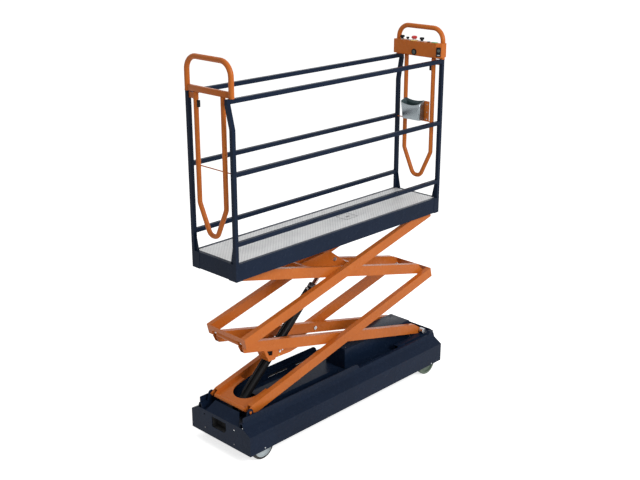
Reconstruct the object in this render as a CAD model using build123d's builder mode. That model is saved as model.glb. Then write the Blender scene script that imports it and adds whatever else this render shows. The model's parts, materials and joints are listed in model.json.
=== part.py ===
from build123d import *
from math import cos, hypot, radians, sin
import os

# Scissor lift trolley: a wheeled base, two stacked pairs of scissor arms and a railed platform.
#
# X runs along the base towards the control box, Y across it and Z up. The origin lies on the floor
# under the middle of the base. The lift is modelled part of the way up.

os.makedirs("parts", exist_ok=True)

# ---------------------------------------------------------------- driving dimensions (mm, degrees)

running_clearance = 0.05
seat_gap = 0.3
sheet = 4
plate = 8

# Base
base_length = 2150
base_half_width = 316
skirt_bottom = 85
skirt_top = 235
skirt_return = 12
shoulder_inset = 73
shoulder_top = 278
ridge_inset = 9
ridge_top = 308
ridge_width = 29
tray_floor = 262
end_plate_top = 275
hand_slot_low_y = -62
hand_slot_high_y = 90
hand_slot_bottom = 168
hand_slot_top = 250
hand_slot_corner = 22
tie_hole_radius = 7
# y and z of each tie-down hole in the end plate
tie_hole_places = ((174, 239), (-147, 230))
lip_top = 340
lip_lean = 70
lip_half_width = 128
lip_near_y = -203
lip_far_y = 155
guard_top = 350
guard_thickness = 6
guard_end_x = 140
guard_end_gap = 9
cap_thickness = 14
saddle_length = 62
saddle_rise = 25

# Power unit between the arms
housing_left = 120
housing_end_distance = 166
housing_side_gap = 4.2
housing_top = 431
housing_wall = 3
battery_margin = 40
battery_top = 400
cover_foot_distance = 190
cover_housing_gap = 80
cover_top = 300

# Wheels
wheel_radius = 100
wheel_width = 40
wheel_end_distance = 149
axle_skirt_gap = 11
rim_radius = 82
hub_radius = 24
disc_recess = 7
hub_inset = 2
hub_proud = 3
axle_radius = 10
axle_head = 5
axle_head_radius = 15
axle_end_gap = 3
axle_bracket_width = 120
axle_bracket_bottom = 68
inner_bracket_inset = 55

# Scissor arms
rest_angle = 13.9
arm_base_inset = 67
arm_platform_inset = 72
foot_base_inset = 100
foot_platform_inset = 105
foot_z = 356.6
foot_rise = 10
pivot_rise = 26
roller_drop = 6
tube_width = 40
tube_height = 78
tube_wall = 4
arm_tray_gap = 6
arm_platform_gap = 28
arm_spacing = 5.5
centre_pin_radius = 12
pin_radius = 8
pin_head_radius = 15
pin_head = 9
foot_bar_radius = 14
foot_pin_radius = 10
foot_pin_proud = 6
foot_plate = 8
foot_plate_length = 250
foot_plate_bar_margin = 68
foot_cutout_radius = 112
end_overhang = 65
end_plate_gap = 15
roller_radius = 21
roller_gap = 6.5
roller_width = 38
deck_roller_radius = 20
deck_roller_gap = 5
deck_roller_width = 16
cross_tube_radius = 21
beam = 40
beam_left_s = 340
beam_right_s = -240
lug_eye_gap = 6
lug_thickness = 10
lug_pin_s = -29
lug_pin_rise = 73
track_left = 640

# Cylinder
cylinder_foot_distance = 85
cylinder_foot_z = 300
barrel_radius = 32.5
barrel_bore = 26
barrel_length = 1050
barrel_base = 70
gland_length = 30
rod_radius = 17
piston_length = 40
piston_inset = 590
eye_radius = 26
eye_half_width = 32
cylinder_pin_radius = 12

# Platform
platform_length = 2160
platform_half_width = 227
deck_rise = 93.7918
deck_thickness = 6
channel_depth = 119
flange_arm_gap = 3
top_flange = 27
deck_edge_gap = 1
channel_sheet = 4.9
post = 28
post_kink_height = 900
post_bend = 35
rail_width = 25
rail_height = 30
top_rail_rise = 1100
mid_rail_rise = 622
toe_rail_rise = 151
corner_sheet = 2
corner_run = 60
corner_width = 77
corner_drop = 3
rib_count = 5
weld_depth = 1.5
rib_pitch = 400
rib_width = 30
rib_height = 30
deck_lug_radius = 24
deck_lug_gap = 5
deck_lug_thickness = 10
gusset_sheet = 5
gusset_tip = 8
rail_wall = 2.5
cap_depth = 4
gusset_height = 130
gusset_width = 35
end_frame_inset = 13
crossbar_height = 40
crossbar_depth = 24
arch_radius = 16
arch_leg_inset = 9
arch_rise = 246
arch_corner = 94

# Gates
gate_tube_radius = 12.5
gate_leg_inset = 84
gate_bend_height = 356
gate_foot_height = 130
gate_cap = 2.5
gate_lip = 4
gate_foot_half_width = 62
gate_foot_radius = 48
gate_bar_radius = 4
gate_bar_height = 605
gate_bar_post_gap = 6
sleeve_height = 40
sleeve_drop = 7
sleeve_wall = 6

# Bin on the right gate
bin_leg_inset = 7
bin_overhang = 32
bin_depth = 75
bin_height = 630
bin_front_depth = 100
bin_back_depth = 145
bin_sheet = 2
bin_plate = 5
bin_plate_margin = 8
bin_front_lean = 18
bin_dip_radius = 400
bin_dip = 12

# Control box
box_face_inset = 67
box_near_inset = 18
box_far_inset = 5
box_rise = 16
box_height = 107
box_sheet = 3
box_corner = 24
# y, head radius, height and neck radius of each control, from the far end
knob_rows = (
    (165, 13, 26, 7),
    (105, 11, 18, 8),
    (35, 17, 34, 8),
    (-62, 14, 26, 8),
    (-122, 10, 9, 6),
)

# ---------------------------------------------------------------- places worked out from these

half_length = base_length / 2
shoulder_half_width = base_half_width - shoulder_inset
ridge_half_width = shoulder_half_width - ridge_inset
tray_half_width = ridge_half_width - ridge_width
platform_end = platform_length / 2

# The arms end inside both the base and the platform, and stand inside both their sides.
run = cos(radians(rest_angle))
rise = sin(radians(rest_angle))
half_height = tube_height / 2
arm_half = min(half_length - arm_base_inset, platform_end - arm_platform_inset)
foot_x = -min(half_length - foot_base_inset, platform_end - foot_platform_inset)
outer_arm_y = min(tray_half_width - arm_tray_gap, platform_half_width - arm_platform_gap)
inner_arm_y = outer_arm_y - tube_width - arm_spacing

housing_right = half_length - housing_end_distance
housing_half_width = inner_arm_y - tube_width - seat_gap - pin_head - housing_side_gap
cylinder_foot_x = foot_x + cylinder_foot_distance
cover_left = cylinder_foot_x + cover_foot_distance
cover_right = housing_left - cover_housing_gap
lug_inner_y = eye_half_width + lug_eye_gap

wheel_x = half_length - wheel_end_distance
axle_tip_y = base_half_width - sheet - axle_skirt_gap
wheel_inner_y = axle_tip_y - axle_head - axle_end_gap - hub_proud - wheel_width
axle_bracket_inner_y = tray_half_width - inner_bracket_inset

centre_x = foot_x + arm_half * run + foot_rise * rise
centre_z = foot_z + arm_half * rise - foot_rise * run
middle_z = centre_z + arm_half * rise + pivot_rise * run
upper_z = middle_z + arm_half * rise + pivot_rise * run
deck_pivot_z = upper_z + arm_half * rise + pivot_rise * run
deck_top = deck_pivot_z + deck_rise
deck_underside = deck_top - deck_thickness
left_pivot_x = centre_x - arm_half * run + pivot_rise * rise
right_pivot_x = centre_x + arm_half * run - pivot_rise * rise

lower_a = Plane((centre_x, outer_arm_y, centre_z), (run, 0, rise), (0, -1, 0))
upper_a = Plane((centre_x, outer_arm_y, upper_z), (run, 0, rise), (0, -1, 0))
lower_b = Plane((centre_x, inner_arm_y, centre_z), (-run, 0, rise), (0, 1, 0)).offset(-tube_width)
upper_b = Plane((centre_x, inner_arm_y, upper_z), (-run, 0, rise), (0, 1, 0)).offset(-tube_width)


def in_arm(plane, s, t):
    """X and Z of a point s along an arm's centreline and t above it."""
    place = plane.from_local_coords((s, t, 0))
    return place.X, place.Z


roller_x, roller_z = in_arm(lower_b, -arm_half, -roller_drop)
lowest_roller_z = foot_z - foot_rise - roller_drop
track_top = lowest_roller_z - roller_radius - seat_gap
lug_pin_x, lug_pin_z = in_arm(upper_b, lug_pin_s, lug_pin_rise)
cylinder_length = hypot(lug_pin_x - cylinder_foot_x, lug_pin_z - cylinder_foot_z)
roller_inner_y = inner_arm_y + roller_gap

channel_bottom = deck_top - channel_depth
channel_flange = platform_half_width - corner_sheet - outer_arm_y - flange_arm_gap
top_rail_top = deck_top + top_rail_rise
mid_rail_top = deck_top + mid_rail_rise
toe_rail_top = deck_top + toe_rail_rise
post_kink_z = deck_top + post_kink_height
end_frame_x = platform_end - end_frame_inset
arch_leg_y = platform_half_width - arch_leg_inset
arch_top = top_rail_top + arch_rise
gate_leg_y = arch_leg_y - gate_leg_inset
gate_bend_z = deck_top + gate_bend_height
gate_bottom = deck_top + gate_foot_height
gate_bar_z = deck_top + gate_bar_height
gate_bar_reach = platform_half_width - post - gate_bar_post_gap
sleeve_top = top_rail_top - sleeve_drop
sleeve_bottom = sleeve_top - sleeve_height
bin_low_y = -gate_leg_y + bin_leg_inset
bin_high_y = gate_leg_y + bin_overhang
bin_bottom = deck_top + bin_height
bin_front_top = bin_bottom + bin_front_depth
bin_back_top = bin_bottom + bin_back_depth
box_face_x = end_frame_x - box_face_inset
box_low_y = -arch_leg_y + box_near_inset
box_high_y = arch_leg_y - box_far_inset
box_bottom = top_rail_top + box_rise
box_top = box_bottom + box_height


# ---------------------------------------------------------------- operations used by many pieces

def polygon(plane, points, amount, mode=Mode.ADD):
    """A straight-edged outline, extruded."""
    with BuildSketch(plane) as outline:
        with BuildLine():
            Polyline(*points, close=True)
        make_face()
    extrude(outline.sketch, amount=amount, mode=mode)


def pin_y(x, z, y_from, y_to, radius, mode=Mode.ADD):
    """A round pin or bore along Y."""
    with BuildSketch(Plane.XZ.offset(-y_from)) as section:
        with Locations((x, z)):
            Circle(radius)
    extrude(section.sketch, amount=y_from - y_to, mode=mode)


def slab(x_from, x_to, y_from, y_to, z_from, z_to, mode=Mode.ADD):
    """A rectangular bar or plate between two corners."""
    with BuildSketch(Plane.XY.offset(z_from)) as section:
        with Locations(((x_from + x_to) / 2, (y_from + y_to) / 2)):
            Rectangle(x_to - x_from, y_to - y_from)
    extrude(section.sketch, amount=z_to - z_from, mode=mode)


def folded_sheet(plane, path, thickness, amount, side=Side.LEFT):
    """A folded sheet: its outside line, thickened to one side and extruded."""
    with BuildSketch(plane) as section:
        with BuildLine():
            line = Polyline(*path)
            offset(line, amount=thickness, side=side)
        make_face()
    extrude(section.sketch, amount=amount)


def turned(plane, outline):
    """A ring turned about the plane's own Y axis, from radii and distances along it."""
    with BuildSketch(plane) as section:
        with BuildLine():
            Polyline(*outline, close=True)
        make_face()
    revolve(section.sketch, axis=Axis(plane.origin, plane.y_dir))


def arm_end(z, slope):
    """The plane square to an outer arm at its centre pin."""
    return Plane((centre_x, 0, z), x_dir=(0, 1, 0), z_dir=(run, 0, slope))


def tube_pair(plane, outline, bores):
    """Two hollow arms, mirrored about the middle of the lift, with their bores."""
    polygon(plane, outline, tube_width)
    with BuildSketch(plane.offset(tube_wall)) as hollow:
        Rectangle(3 * arm_half, tube_height - 2 * tube_wall)
    extrude(hollow.sketch, amount=tube_width - 2 * tube_wall, mode=Mode.SUBTRACT)
    for s, t, radius in bores:
        with BuildSketch(plane) as bore:
            with Locations((s, t)):
                Circle(radius + running_clearance)
        extrude(bore.sketch, amount=tube_width, mode=Mode.SUBTRACT)
    mirror(about=Plane.XZ)


def finish(builder, name):
    """Label a piece and write it."""
    builder.part.label = name
    export_step(builder.part, f"parts/{name}.step")


# ---------------------------------------------------------------- base

sill = (
    (base_half_width - skirt_return, skirt_bottom),
    (base_half_width, skirt_bottom),
    (base_half_width, skirt_top),
    (shoulder_half_width, shoulder_top),
    (ridge_half_width, ridge_top),
    (tray_half_width, ridge_top),
    (tray_half_width, tray_floor),
)
tray_path = sill + tuple((-y, z) for y, z in reversed(sill))
with BuildPart() as base_tray:
    folded_sheet(Plane.YZ.offset(-half_length + sheet), tray_path, sheet, base_length - sheet - cap_thickness)
finish(base_tray, "base_tray")

end_outline = (
    (base_half_width, skirt_bottom),
    (base_half_width, skirt_top),
    (shoulder_half_width, end_plate_top),
    (-shoulder_half_width, end_plate_top),
    (-base_half_width, skirt_top),
    (-base_half_width, skirt_bottom),
)
lip_plane = Plane(
    (-half_length, 0, end_plate_top),
    x_dir=(0, 1, 0),
    z_dir=(lip_top - end_plate_top, 0, -lip_lean),
)
lip_height = hypot(lip_lean, lip_top - end_plate_top)
with BuildPart() as left_end_plate:
    polygon(Plane.YZ.offset(-half_length), end_outline, sheet)
    polygon(
        Plane.YZ.offset(-half_length),
        (
            (hand_slot_low_y, hand_slot_bottom + hand_slot_corner),
            (hand_slot_low_y + hand_slot_corner, hand_slot_bottom),
            (hand_slot_high_y, hand_slot_bottom),
            (hand_slot_high_y, hand_slot_top),
            (hand_slot_low_y, hand_slot_top),
        ),
        sheet,
        Mode.SUBTRACT,
    )
    with BuildSketch(Plane.YZ.offset(-half_length)) as tie_holes:
        with Locations(*tie_hole_places):
            Circle(tie_hole_radius)
    extrude(tie_holes.sketch, amount=sheet, mode=Mode.SUBTRACT)
    polygon(
        lip_plane,
        ((lip_near_y, 0), (lip_far_y, 0), (lip_half_width, lip_height), (-lip_half_width, lip_height)),
        sheet,
    )
finish(left_end_plate, "left_end_plate")

with BuildPart() as right_end_cap:
    polygon(
        Plane.YZ.offset(half_length - cap_thickness),
        (
            (base_half_width, skirt_bottom),
            (base_half_width, skirt_top),
            (shoulder_half_width, shoulder_top),
            (ridge_half_width, ridge_top),
            (tray_half_width, ridge_top + saddle_rise),
            (-tray_half_width, ridge_top + saddle_rise),
            (-ridge_half_width, ridge_top),
            (-shoulder_half_width, shoulder_top),
            (-base_half_width, skirt_top),
            (-base_half_width, skirt_bottom),
        ),
        cap_thickness,
    )
    chamfer(right_end_cap.faces().sort_by(Axis.X)[-1].edges(), cap_thickness / 3)
    cap_inner_x = half_length - cap_thickness
    polygon(
        Plane.XZ.offset(-ridge_half_width),
        (
            (cap_inner_x - saddle_length, ridge_top),
            (cap_inner_x, ridge_top),
            (cap_inner_x, ridge_top + saddle_rise),
            (cap_inner_x - saddle_length + saddle_rise, ridge_top + saddle_rise),
        ),
        ridge_half_width - tray_half_width,
    )
    polygon(
        Plane.XZ.offset(tray_half_width),
        (
            (cap_inner_x - saddle_length, ridge_top),
            (cap_inner_x, ridge_top),
            (cap_inner_x, ridge_top + saddle_rise),
            (cap_inner_x - saddle_length + saddle_rise, ridge_top + saddle_rise),
        ),
        ridge_half_width - tray_half_width,
    )
finish(right_end_cap, "right_end_cap")

guard_height = guard_top - ridge_top
guard_left = -half_length + sheet + guard_end_gap
with BuildPart() as guard_strips:
    with BuildSketch(Plane.XZ.offset(-ridge_half_width)) as strip:
        with Locations(((guard_left + guard_end_x - guard_height) / 2, (ridge_top + guard_top) / 2)):
            Rectangle(guard_end_x - guard_height - guard_left, guard_height)
        with Locations((guard_end_x - guard_height, ridge_top)):
            Circle(guard_height)
        with Locations((guard_end_x - guard_height, ridge_top - guard_height / 2)):
            Rectangle(2 * guard_height, guard_height, mode=Mode.SUBTRACT)
    extrude(strip.sketch, amount=guard_thickness)
    mirror(about=Plane.XZ)
finish(guard_strips, "guard_strips")

with BuildPart() as well_cover:
    folded_sheet(
        Plane.YZ.offset(cover_left),
        (
            (housing_half_width, tray_floor),
            (housing_half_width, cover_top),
            (-housing_half_width, cover_top),
            (-housing_half_width, tray_floor),
        ),
        sheet,
        cover_right - cover_left,
    )
finish(well_cover, "well_cover")

with BuildPart() as power_housing:
    slab(
        housing_left,
        housing_right,
        -housing_half_width,
        housing_half_width,
        tray_floor,
        housing_top,
    )
    fillet(power_housing.faces().sort_by(Axis.Z)[-1].edges(), housing_wall)
    slab(
        housing_left + housing_wall,
        housing_right - housing_wall,
        -housing_half_width + housing_wall,
        housing_half_width - housing_wall,
        tray_floor,
        housing_top - housing_wall,
        Mode.SUBTRACT,
    )
finish(power_housing, "power_housing")

with BuildPart() as battery_block:
    slab(
        housing_left + battery_margin,
        housing_right - battery_margin,
        -housing_half_width + battery_margin / 2,
        housing_half_width - battery_margin / 2,
        tray_floor,
        battery_top,
    )
finish(battery_block, "battery_block")

track_right = half_length - cap_thickness
track_inner_y = roller_inner_y
track_outer_y = tray_half_width - seat_gap
with BuildPart() as roller_tracks:
    folded_sheet(
        Plane.YZ.offset(track_left),
        (
            (track_outer_y, tray_floor),
            (track_outer_y, track_top),
            (track_inner_y, track_top),
            (track_inner_y, tray_floor),
        ),
        sheet,
        track_right - track_left,
    )
    mirror(about=Plane.XZ)
finish(roller_tracks, "roller_tracks")

lug_half_width = 40
lug_top_radius = 26
with BuildPart() as pivot_lugs:
    with BuildSketch(Plane.XZ.offset(-(tray_half_width + plate))) as lug:
        with Locations((foot_x, foot_z)):
            Circle(lug_top_radius)
        with BuildLine():
            Polyline(
                (foot_x - lug_half_width, ridge_top),
                (foot_x + lug_half_width, ridge_top),
                (foot_x + lug_top_radius * 0.9, foot_z + lug_top_radius * 0.4),
                (foot_x - lug_top_radius * 0.9, foot_z + lug_top_radius * 0.4),
                close=True,
            )
        make_face()
        with Locations((foot_x, foot_z)):
            Circle(foot_pin_radius + running_clearance, mode=Mode.SUBTRACT)
    extrude(lug.sketch, amount=plate)
    mirror(about=Plane.XZ)
finish(pivot_lugs, "pivot_lugs")

clevis_half_width = 34
with BuildPart() as foot_clevis:
    with BuildSketch(Plane.XZ.offset(-(lug_inner_y + lug_thickness))) as ear:
        with Locations((cylinder_foot_x, cylinder_foot_z)):
            Circle(eye_radius)
        with Locations((cylinder_foot_x, (tray_floor + cylinder_foot_z) / 2)):
            Rectangle(2 * eye_radius, cylinder_foot_z - tray_floor - sheet)
        with Locations((cylinder_foot_x, tray_floor + plate / 2)):
            Rectangle(2 * clevis_half_width, plate)
    extrude(ear.sketch, amount=lug_thickness)
    mirror(about=Plane.XZ)
    pin_y(cylinder_foot_x, cylinder_foot_z, -lug_inner_y - 1, lug_inner_y + 1, cylinder_pin_radius)
finish(foot_clevis, "foot_clevis")

axle_end_y = wheel_inner_y + wheel_width + hub_proud + axle_end_gap
outer_bracket_y = tray_half_width + sheet
with BuildPart() as axle_brackets:
    for inner_y, bracket_top in (
        (axle_bracket_inner_y, tray_floor - sheet),
        (outer_bracket_y, ridge_top - sheet),
    ):
        for x in (-wheel_x, wheel_x):
            with BuildSketch(Plane.XZ.offset(-(inner_y + plate))) as bracket:
                with BuildLine():
                    Polyline(
                        (x - axle_bracket_width / 2, bracket_top),
                        (x - axle_bracket_width / 4, axle_bracket_bottom),
                        (x + axle_bracket_width / 4, axle_bracket_bottom),
                        (x + axle_bracket_width / 2, bracket_top),
                        close=True,
                    )
                make_face()
                with Locations((x, wheel_radius)):
                    Circle(axle_radius + running_clearance, mode=Mode.SUBTRACT)
            extrude(bracket.sketch, amount=plate)
    mirror(about=Plane.XZ)
finish(axle_brackets, "axle_brackets")

with BuildPart() as axles:
    for x in (-wheel_x, wheel_x):
        pin_y(x, wheel_radius, axle_bracket_inner_y - plate, axle_end_y, axle_radius)
        pin_y(x, wheel_radius, axle_end_y, axle_end_y + axle_head, axle_head_radius)
    mirror(about=Plane.XZ)
finish(axles, "axles")

# ---------------------------------------------------------------- wheels

wheel_places = (
    ("left_near", -wheel_x, -1),
    ("left_far", -wheel_x, 1),
    ("right_near", wheel_x, -1),
    ("right_far", wheel_x, 1),
)
for name, x, side in wheel_places:
    hub = Plane((x, side * wheel_inner_y, wheel_radius), x_dir=(1, 0, 0), z_dir=(0, 0, side))
    with BuildPart() as tyre:
        turned(
            hub,
            (
                (rim_radius, 0),
                (wheel_radius, 0),
                (wheel_radius, wheel_width),
                (rim_radius, wheel_width),
            ),
        )
    finish(tyre, f"tyre_{name}")

    with BuildPart() as disc:
        turned(
            hub,
            (
                (axle_radius + running_clearance, -hub_inset),
                (hub_radius, -hub_inset),
                (hub_radius, disc_recess),
                (rim_radius, disc_recess),
                (rim_radius, wheel_width - disc_recess),
                (hub_radius, wheel_width - disc_recess),
                (hub_radius, wheel_width + hub_proud),
                (axle_radius + running_clearance, wheel_width + hub_proud),
            ),
        )
    finish(disc, f"disc_{name}")

# ---------------------------------------------------------------- lower outer arms

foot_tip = 6
foot_tip_low = 4
foot_tip_high = 22
foot_taper_below = 70
foot_taper_above = 40
lower_a_outline = (
    (-arm_half - foot_tip, -foot_tip_low),
    (-arm_half + foot_taper_below, -half_height),
    (arm_half + end_overhang, -half_height),
    (arm_half + end_overhang, half_height),
    (-arm_half + foot_taper_above, half_height),
    (-arm_half - foot_tip, foot_tip_high),
)
lower_a_flat = Plane((centre_x, 0, centre_z), x_dir=(run, 0, rise), z_dir=(-rise, 0, run))
foot_plate_drop = 4
arm_gap_half = outer_arm_y - tube_width
cutout_centre = -arm_half + foot_plate_bar_margin + foot_cutout_radius
with BuildPart() as a1_arms:
    tube_pair(
        lower_a,
        lower_a_outline,
        (),
    )
finish(a1_arms, "a1_arms")

with BuildPart() as a1_foot:
    pin_y(foot_x, foot_z, outer_arm_y, tray_half_width + plate + foot_pin_proud, foot_pin_radius)
    mirror(about=Plane.XZ)
    pin_y(foot_x, foot_z, -arm_gap_half, arm_gap_half, foot_bar_radius)
    with BuildSketch(lower_a_flat.offset(foot_plate_drop)) as web:
        with Locations((-arm_half + foot_plate_length / 2, 0)):
            Rectangle(foot_plate_length, 2 * arm_gap_half)
        with Locations((cutout_centre, 0)):
            Circle(foot_cutout_radius, mode=Mode.SUBTRACT)
        with Locations((cutout_centre + foot_plate_length / 2, 0)):
            Rectangle(foot_plate_length, 2 * foot_cutout_radius, mode=Mode.SUBTRACT)
    extrude(web.sketch, amount=foot_plate)
finish(a1_foot, "a1_foot")

with BuildPart() as a1_end_plate:
    with BuildSketch(arm_end(centre_z, rise).offset(arm_half + end_overhang)) as closing:
        Rectangle(2 * outer_arm_y, tube_height)
    extrude(closing.sketch, amount=tube_wall)
finish(a1_end_plate, "a1_end_plate")

head_y = inner_arm_y - tube_width - seat_gap - pin_head
with BuildPart() as a1_pins:
    for x, z, radius in (
        (centre_x, centre_z, centre_pin_radius),
        (*in_arm(lower_a, arm_half, pivot_rise), pin_radius),
    ):
        pin_y(x, z, head_y, arm_gap_half, radius)
        pin_y(x, z, head_y, head_y + pin_head, pin_head_radius)
    mirror(about=Plane.XZ)
finish(a1_pins, "a1_pins")

# ---------------------------------------------------------------- lower inner arms

# The roller end tapers to a blunt nose, and the other end is cut back below its pivot.
nose_taper = 79
nose_shoulder = 18
nose_shoulder_rise = 4
nose_length = 26
nose_drop = 8
nose_chin = 16
nose_chin_drop = 32
nose_root = 2
pivot_end = 12
pivot_end_cut = 20
pivot_end_corner = 4
pivot_end_corner_z = 30
lower_b_outline = (
    (-arm_half + nose_taper, half_height),
    (-arm_half - nose_shoulder, nose_shoulder_rise),
    (-arm_half - nose_length, -nose_drop),
    (-arm_half - nose_chin, -nose_chin_drop),
    (-arm_half + nose_root, -half_height),
    (arm_half - pivot_end_cut, -half_height),
    (arm_half + pivot_end, 0),
    (arm_half + pivot_end, pivot_end_corner_z),
    (arm_half + pivot_end - pivot_end_corner, half_height),
)
with BuildPart() as b1_arms:
    tube_pair(
        lower_b,
        lower_b_outline,
        (
            (0, 0, centre_pin_radius),
            (arm_half, pivot_rise, pin_radius),
        ),
    )
finish(b1_arms, "b1_arms")

cross_tube_half = inner_arm_y - tube_width
with BuildPart() as b1_cross_tube:
    pin_y(left_pivot_x, middle_z, -cross_tube_half, cross_tube_half, cross_tube_radius)
finish(b1_cross_tube, "b1_cross_tube")

bracket_barrel_gap = 27.5
bracket_arm_inset = 3.5
bracket_inner_y = barrel_radius + bracket_barrel_gap
bracket_outer_y = inner_arm_y - bracket_arm_inset
bracket_wall = 5
bracket_window_inset = 302
bracket_window_t = -64
bracket_window_length = 42
bracket_window_height = 18
bracket_end_inset = 218
bracket_shoulder_inset = 228
bracket_shoulder_depth = 100
bracket_toe_inset = 313
bracket_toe_depth = 143
bracket_heel_inset = 435
bracket_heel_depth = 131
bracket_start_inset = 448
bracket_outline = (
    (arm_half - bracket_end_inset, -half_height),
    (arm_half - bracket_shoulder_inset, -bracket_shoulder_depth),
    (arm_half - bracket_toe_inset, -bracket_toe_depth),
    (arm_half - bracket_heel_inset, -bracket_heel_depth),
    (arm_half - bracket_start_inset, -half_height),
)
with BuildPart() as b1_brackets:
    with BuildSketch(lower_b.offset(bracket_inner_y - inner_arm_y + tube_width)) as side:
        with BuildLine():
            Polyline(*bracket_outline, close=True)
        make_face()
    extrude(side.sketch, amount=bracket_outer_y - bracket_inner_y)
    with BuildSketch(lower_b.offset(bracket_inner_y - inner_arm_y + tube_width)) as inside:
        add(side.sketch_local)
        offset(amount=-bracket_wall)
    extrude(inside.sketch, amount=bracket_outer_y - bracket_inner_y - bracket_wall, mode=Mode.SUBTRACT)
    with BuildSketch(lower_b.offset(bracket_outer_y - inner_arm_y + tube_width)) as window:
        with Locations((arm_half - bracket_window_inset, bracket_window_t)):
            Rectangle(bracket_window_length, bracket_window_height)
    extrude(window.sketch, amount=-2 * bracket_wall, mode=Mode.SUBTRACT)
    mirror(about=Plane.XZ)
finish(b1_brackets, "b1_brackets")

with BuildPart() as b1_rollers:
    pin_y(roller_x, roller_z, inner_arm_y, roller_inner_y + roller_width, foot_pin_radius)
    pin_y(roller_x, roller_z, roller_inner_y, roller_inner_y + roller_width, roller_radius)
    mirror(about=Plane.XZ)
finish(b1_rollers, "b1_rollers")

# ---------------------------------------------------------------- upper outer arms

upper_end = 25
upper_a_outline = (
    (-arm_half - end_plate_gap, -half_height),
    (arm_half + upper_end, -half_height),
    (arm_half + upper_end, half_height),
    (-arm_half - end_plate_gap, half_height),
)
with BuildPart() as a2_arms:
    tube_pair(upper_a, upper_a_outline, ())
finish(a2_arms, "a2_arms")

concave_drop = 38
concave_half_width = arm_gap_half
concave_corner = 26
with BuildPart() as a2_end_plate:
    with BuildSketch(arm_end(upper_z, rise).offset(-arm_half - end_plate_gap - tube_wall)) as closing:
        Rectangle(2 * outer_arm_y, tube_height)
        with Locations((0, -half_height)):
            RectangleRounded(2 * concave_half_width, 2 * concave_drop, concave_corner, mode=Mode.SUBTRACT)
    extrude(closing.sketch, amount=tube_wall)
finish(a2_end_plate, "a2_end_plate")

with BuildPart() as a2_pins:
    pin_y(left_pivot_x, middle_z, cross_tube_half + seat_gap, arm_gap_half, pin_radius)
    pin_y(centre_x, upper_z, head_y, arm_gap_half, centre_pin_radius)
    pin_y(centre_x, upper_z, head_y, head_y + pin_head, pin_head_radius)
    mirror(about=Plane.XZ)
finish(a2_pins, "a2_pins")

deck_roller_y = outer_arm_y + deck_roller_gap
with BuildPart() as a2_rollers:
    pin_y(right_pivot_x, deck_pivot_z, outer_arm_y, deck_roller_y + deck_roller_width, pin_radius)
    pin_y(
        right_pivot_x,
        deck_pivot_z,
        deck_roller_y,
        deck_roller_y + deck_roller_width,
        deck_roller_radius,
    )
    mirror(about=Plane.XZ)
finish(a2_rollers, "a2_rollers")

# ---------------------------------------------------------------- upper inner arms

eye_gap = 33
eye_corner_drop = 22
eye_corner_run = 26
upper_end_cut = 35
upper_end_cut_z = -10
upper_b_outline = (
    (-arm_half + eye_gap, -half_height),
    (-arm_half + eye_gap, half_height - eye_corner_drop),
    (-arm_half + eye_gap + eye_corner_run, half_height),
    (arm_half + upper_end, half_height),
    (arm_half + upper_end, upper_end_cut_z),
    (arm_half + upper_end - upper_end_cut, -half_height),
)
with BuildPart() as b2_arms:
    tube_pair(upper_b, upper_b_outline, ((0, 0, centre_pin_radius), (arm_half, pivot_rise, pin_radius)))
finish(b2_arms, "b2_arms")

eye_plate_radius = 25
with BuildPart() as b2_eyes:
    for depth in (0, tube_width - plate):
        with BuildSketch(upper_b.offset(depth)) as eye:
            with Locations((-arm_half, -pivot_rise)):
                Circle(eye_plate_radius)
            with BuildLine():
                Polyline(
                    (-arm_half + eye_gap, half_height - eye_corner_drop),
                    (-arm_half - eye_plate_radius * 0.8, -pivot_rise + eye_plate_radius * 0.6),
                    (-arm_half, -pivot_rise - eye_plate_radius),
                    (-arm_half + eye_gap, -half_height),
                    close=True,
                )
            make_face()
            with Locations((-arm_half, -pivot_rise)):
                Circle(pin_radius + running_clearance, mode=Mode.SUBTRACT)
        extrude(eye.sketch, amount=plate)
    mirror(about=Plane.XZ)
finish(b2_eyes, "b2_eyes")

with BuildPart() as b2_cross_tubes:
    for s in (beam_left_s, beam_right_s):
        with BuildSketch(upper_b.offset(-2 * cross_tube_half)) as section:
            with Locations((s, half_height - beam / 2)):
                Rectangle(beam, beam)
                Rectangle(beam - 2 * tube_wall, beam - 2 * tube_wall, mode=Mode.SUBTRACT)
        extrude(section.sketch, amount=2 * cross_tube_half)
finish(b2_cross_tubes, "b2_cross_tubes")

# Side plates that reach from one cross tube to the other and rise to the cylinder's upper pin
lug_left_rise = 4
lug_left_peak = (91, 121)
lug_right_peak = (32, 133)
lug_right_shoulder = (-177, 46)
lug_right_drop = 6
lug_outline = (
    (beam_right_s + beam / 2, half_height - beam / 2),
    (beam_left_s - beam / 2, half_height - beam / 2),
    (beam_left_s - beam / 2, half_height + lug_left_rise),
    lug_left_peak,
    lug_right_peak,
    lug_right_shoulder,
    (beam_right_s + beam / 2, half_height - lug_right_drop),
)
with BuildPart() as b2_lugs:
    polygon(upper_b.offset(lug_inner_y - cross_tube_half), lug_outline, lug_thickness)
    mirror(about=Plane.XZ)
finish(b2_lugs, "b2_lugs")

with BuildPart() as b2_pins:
    lug_outer_y = lug_inner_y + lug_thickness
    pin_y(lug_pin_x, lug_pin_z, lug_outer_y, lug_outer_y + pin_head, pin_head_radius)
    mirror(about=Plane.XZ)
finish(b2_pins, "b2_pins")

# ---------------------------------------------------------------- cylinder

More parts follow.
